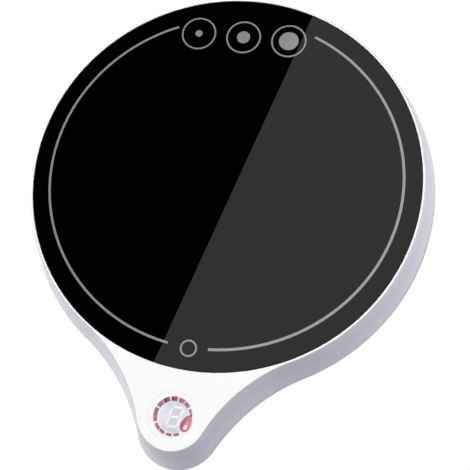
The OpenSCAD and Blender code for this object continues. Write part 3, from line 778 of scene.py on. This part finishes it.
for k in range(15):
    mid = 99.0 - 24.0 * k
    if mid in (-21.0, -45.0):
        continue
    a = math.radians(mid)
    w = 0.80 + 0.26 * math.cos(a - math.radians(118))
    half = 9.2 + 0.7 * math.cos(a - math.radians(150))
    r_mid = RING_R - 0.13 * math.cos(a) + 0.03 * math.sin(a) - 0.05 + 0.05 * math.cos(2 * a)
    if k == 2:
        w = 0.80
    if k == 3:
        half, w = 6.4, 0.50
    if k == 4:
        half, w = 5.2, 0.42
    mid += UNEVEN[k]
    bar = ribbon("d", bar_path(mid, half, r_mid), w, LZ - 0.002, LZ + 0.010)
    glow.append(ribbon("g", bar_path(mid, half + 1.4, r_mid), w + 0.16, LZ - 0.002, LZ + 0.006))
    deg = mid % 360
    key = ("bar_night" if deg < 20 or 90 < deg < 135 else "bar_mauve" if deg < 186 else "bar_red" if deg < 205 else "bar_plum")
    groups[key].append(bar)
    if 180 < deg < 262:
        fringe.append(ribbon("f", bar_path(mid, 11, r_mid + w / 2 + 0.14), 0.30, LZ - 0.002, LZ + 0.008))
put("display_bar_glow", glow, "bar_glow")
for key, parts in groups.items():
    put("display_" + key, parts, key)
put("display_fringe", fringe, "fringe")

# slanted digit of seven bars
TURN, LEAN = math.radians(6.0), math.tan(math.radians(14.5))
DW, DH, BW = 2.55, 4.52, 0.50
OX, OY = DX + 0.28, DY + 0.09


def in_digit(x, y):
    x += y * LEAN
    return (OX + x * math.cos(TURN) - y * math.sin(TURN), OY + x * math.sin(TURN) + y * math.cos(TURN))


cells = [[in_digit(x, y) for x, y in ((-DW / 2, y0), (DW / 2, y0), (DW / 2, y1), (-DW / 2, y1))]
         for y0, y1 in ((0.03, DH / 2), (-DH / 2, -0.03))]
put("display_cells", [slab(c, LZ + 0.001, LZ + 0.007) for c in cells], "cell")
digit = []
for x, y, upright in ((0, DH / 2, 0), (0, 0, 0), (0, -DH / 2, 0), (-DW / 2, DH / 4, 1), (DW / 2, DH / 4, 1), (-DW / 2, -DH / 4, 1), (DW / 2, -DH / 4, 1)):
    h = (DH * 0.44 if upright else DW * 0.86) / 2
    w = BW / 2 if not upright else BW / 2 * 0.92
    pts = [(-h, 0), (-h + w, w), (h - w, w), (h, 0), (h - w, -w), (-h + w, -w)]
    if upright:
        pts = [(-q[1], q[0]) for q in pts]
    digit.append(slab([in_digit(x + px, y + py) for px, py in pts], LZ + 0.004, LZ + 0.012))
put("display_digit", digit, "bars")

# touch symbol: a drop-shaped fingerprint with a fingertip
TX, TY = DX + 3.30, DY - 0.96
tilt = math.radians(-16)


def drop_shape(cx, cy, a_, b_, turn, narrow=0.30, n=56):
    """Oval that is narrower at its far end."""
    out = []
    for k in range(n):
        t = 2 * math.pi * k / n
        y = b_ * math.sin(t)
        x = a_ * math.cos(t) * (1 - narrow * 0.5 * (1 + math.sin(t)))
        out.append((cx + x * math.cos(turn) - y * math.sin(turn), cy + x * math.sin(turn) + y * math.cos(turn)))
    return out


put("touch_symbol_glow", [slab(drop_shape(TX + 0.16, TY - 0.10, 1.46, 2.10, tilt), LZ + 0.004, LZ + 0.010)], "fringe")
put("touch_symbol_edge", [slab(drop_shape(TX, TY, 1.42, 2.08, tilt), LZ + 0.006, LZ + 0.014)], "touch_edge")
put("touch_symbol_oval", [slab(drop_shape(TX + 0.13, TY + 0.04, 1.22, 1.88, tilt), LZ + 0.010, LZ + 0.018)], "touch")
put("touch_symbol_neck", [slab(oval(TX + 0.12, TY - 0.30, 0.40, 0.84, math.radians(-20)), LZ + 0.013, LZ + 0.020)], "touch_neck")
put("touch_symbol_tip", [slab(oval(TX - 0.02, TY - 0.94, 0.44, 0.60, math.radians(-24)), LZ + 0.014, LZ + 0.022)], "touch_tip")

# ---------------------------------------------------------------- contacts in the power socket
tong_lo, tong_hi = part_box("inlet_tongue")
contacts = Builder()
for side in (-1, 1):
    z = inlet_z + side * 0.35
    for i in range(10):
        x = -2.7 + 0.6 * i
        base = len(contacts.verts)
        y1 = tong_hi.y / MM - 0.35
        for yy in (y1 - 3.4, y1):
            for xx in (x - 0.14, x + 0.14):
                for zz in (z - side * 0.02, z + side * 0.03):
                    contacts.verts.append((xx * MM, yy * MM, zz * MM))
        i0 = base
        contacts.faces += [(i0, i0 + 1, i0 + 3, i0 + 2), (i0 + 4, i0 + 6, i0 + 7, i0 + 5), (i0, i0 + 4, i0 + 5, i0 + 1),
                           (i0 + 2, i0 + 3, i0 + 7, i0 + 6), (i0, i0 + 2, i0 + 6, i0 + 4), (i0 + 1, i0 + 5, i0 + 7, i0 + 3)]
place(build("inlet_contacts", contacts, weighted=False), "gold")

# ---------------------------------------------------------------- floor
floor_mesh = bpy.data.meshes.new("floor")
floor_mesh.from_pydata([(-4, -4, 0), (4, -4, 0), (4, 4, 0), (-4, 4, 0)], [], [(0, 1, 2, 3)])
floor = bpy.data.objects.new("floor", floor_mesh)
bpy.context.scene.collection.objects.link(floor)
fm = bpy.data.materials.new("pale_floor")
fm.use_nodes = True
nt = fm.node_tree
nt.nodes.clear()
out = nt.nodes.new("ShaderNodeOutputMaterial")
mix = nt.nodes.new("ShaderNodeMixShader")
dif = nt.nodes.new("ShaderNodeBsdfDiffuse")
emi = nt.nodes.new("ShaderNodeEmission")
dif.inputs["Color"].default_value = (0.95, 0.95, 0.95, 1)
emi.inputs["Color"].default_value = (1, 1, 1, 1)
emi.inputs["Strength"].default_value = 1.02
mix.inputs["Fac"].default_value = 0.97
nt.links.new(dif.outputs[0], mix.inputs[1])
nt.links.new(emi.outputs[0], mix.inputs[2])
nt.links.new(mix.outputs[0], out.inputs[0])
floor_mesh.materials.append(fm)
floor.visible_diffuse = False

# ---------------------------------------------------------------- light
# softboxes aimed at the plate: name, azimuth and elevation in degrees, distance and size in metres, power in watts per channel
FILL = (0.018, 0.018, 0.108)
SOFTBOXES = [
    ("top", 0.0, 90.0, 1.4, 0.9, (13.73, 13.73, 11.96)),
    ("top_back", 123.0, 60.0, 1.4, 0.6, (2.99, 2.99, 2.604)),
    ("right", 20.0, 20.0, 0.32, 0.2, (0.354, 0.354, 0.3667)),
    ("back_left", 150.0, 25.0, 0.32, 0.2, (0.35, 0.35, 0.3626)),
    ("left", 200.0, 20.0, 0.32, 0.2, (0.218, 0.218, 0.2258)),
    ("front_left", 258.0, 20.0, 1.3, 0.9, (1.8, 1.8, 1.865)),
]


def softbox(name, az, el, dist, size, power):
    light = bpy.data.lights.new("softbox_" + name, "AREA")
    light.shape = "RECTANGLE"
    light.size = size
    light.size_y = size * (0.5 if el < 60 else 1.0)
    light.energy = max(power)
    light.color = tuple(v / max(power) for v in power)
    obj = bpy.data.objects.new("softbox_" + name, light)
    a, e = math.radians(az), math.radians(el)
    target = Vector((0.0, 0.0, 0.01))
    obj.location = target + dist * Vector((math.cos(e) * math.cos(a), math.cos(e) * math.sin(a), math.sin(e)))
    obj.rotation_euler = (target - obj.location).to_track_quat("-Z", "Y").to_euler()
    obj.visible_glossy = False
    obj.visible_camera = False
    bpy.context.scene.collection.objects.link(obj)
    return obj


for row in SOFTBOXES:
    softbox(*row)

world = bpy.data.worlds.new("studio")
bpy.context.scene.world = world
world.use_nodes = True
wn = world.node_tree
wn.nodes.clear()
wout = wn.nodes.new("ShaderNodeOutputWorld")
fill = wn.nodes.new("ShaderNodeBackground")       # soft cool fill for the matt surfaces
fill.inputs["Color"].default_value = (FILL[0], FILL[1], FILL[2], 1)
fill.inputs["Strength"].default_value = 1.0
room = wn.nodes.new("ShaderNodeBackground")       # what the gloss sees: pale walls, dark ceiling
wco = wn.nodes.new("ShaderNodeTexCoord")
wsep = wn.nodes.new("ShaderNodeSeparateXYZ")
wmap = wn.nodes.new("ShaderNodeMapRange")
wmap.interpolation_type = "SMOOTHSTEP"
wmap.inputs["From Min"].default_value = 0.62
wmap.inputs["From Max"].default_value = 0.80
wmap.inputs["To Min"].default_value = 0.30
wmap.inputs["To Max"].default_value = 0.0
wn.links.new(wco.outputs["Generated"], wsep.inputs[0])
wn.links.new(wsep.outputs["Z"], wmap.inputs["Value"])
wn.links.new(wmap.outputs["Result"], room.inputs["Strength"])
sky = wn.nodes.new("ShaderNodeBackground")        # plain pale backdrop
sky.inputs["Color"].default_value = (1, 1, 1, 1)
sky.inputs["Strength"].default_value = 1.0
wpath = wn.nodes.new("ShaderNodeLightPath")
seen = fill.outputs[0]
for ray, shader in (("Is Glossy Ray", room), ("Is Camera Ray", sky)):
    wmix = wn.nodes.new("ShaderNodeMixShader")
    wn.links.new(wpath.outputs[ray], wmix.inputs["Fac"])
    wn.links.new(seen, wmix.inputs[1])
    wn.links.new(shader.outputs[0], wmix.inputs[2])
    seen = wmix.outputs[0]
wn.links.new(seen, wout.inputs[0])

# white card overhead whose straight edge is mirrored across the glass
CAM = Vector((0.04881, PLATE_Y * MM - 0.07546, GLASS_Z * MM + 0.22539))
CARD_H = 0.80


def mirrored(x, y):
    """Where the ray from the camera to plate point (x, y), mirrored by the glass, meets the card's height."""
    p = Vector((x * MM, (PLATE_Y + y) * MM, GLASS_Z * MM))
    d = p - CAM
    d.z = -d.z
    return p + d * ((CARD_H - p.z) / d.z)


e0, e1 = mirrored(14.56, 47.13), mirrored(-7.08, -49.28)
along = (e0 - e1).normalized()
across = Vector((along.y, -along.x, 0))
a0, a1 = e1 - along * 0.12, e0 + along * 0.12
card_pts = [a0, a1, a1 + across * 0.42, a0 + across * 0.42]
card_mesh = bpy.data.meshes.new("overhead_card")
card_mesh.from_pydata([tuple(v) for v in card_pts], [], [(0, 1, 2, 3)])
card = bpy.data.objects.new("overhead_card", card_mesh)
bpy.context.scene.collection.objects.link(card)
cm = bpy.data.materials.new("card_white")
cm.use_nodes = True
ct = cm.node_tree
ct.nodes.clear()
co = ct.nodes.new("ShaderNodeOutputMaterial")
ce = ct.nodes.new("ShaderNodeEmission")
ce.inputs["Strength"].default_value = 0.80
ct.links.new(ce.outputs[0], co.inputs[0])
card_mesh.materials.append(cm)
card.visible_camera = False
card.visible_diffuse = False
card.visible_shadow = False

# ---------------------------------------------------------------- camera
cam_data = bpy.data.cameras.new("camera")
cam_data.sensor_width = 36.0
cam_data.sensor_fit = "HORIZONTAL"
cam_data.lens = 72.94
cam_data.shift_x = -0.5 / 470
cam_data.shift_y = 0.5 / 470
cam_data.clip_start = 0.01
cam_data.clip_end = 20
cam = bpy.data.objects.new("camera", cam_data)
az, el, roll = 0.612235861, 1.25358246, -0.432980398
back_v = Vector((math.sin(az) * math.cos(el), -math.cos(az) * math.cos(el), math.sin(el)))
right = (-back_v).cross(Vector((0, 0, 1))).normalized()
up = right.cross(-back_v)
r2 = right * math.cos(roll) + up * math.sin(roll)
u2 = -right * math.sin(roll) + up * math.cos(roll)
rot = Matrix((r2, u2, back_v)).transposed().to_4x4()
cam.matrix_world = Matrix.Translation(CAM) @ rot
bpy.context.scene.collection.objects.link(cam)
bpy.context.scene.camera = cam

bpy.context.scene.view_settings.view_transform = "Standard"
bpy.context.scene.view_settings.look = "None"

bpy.context.view_layer.update()
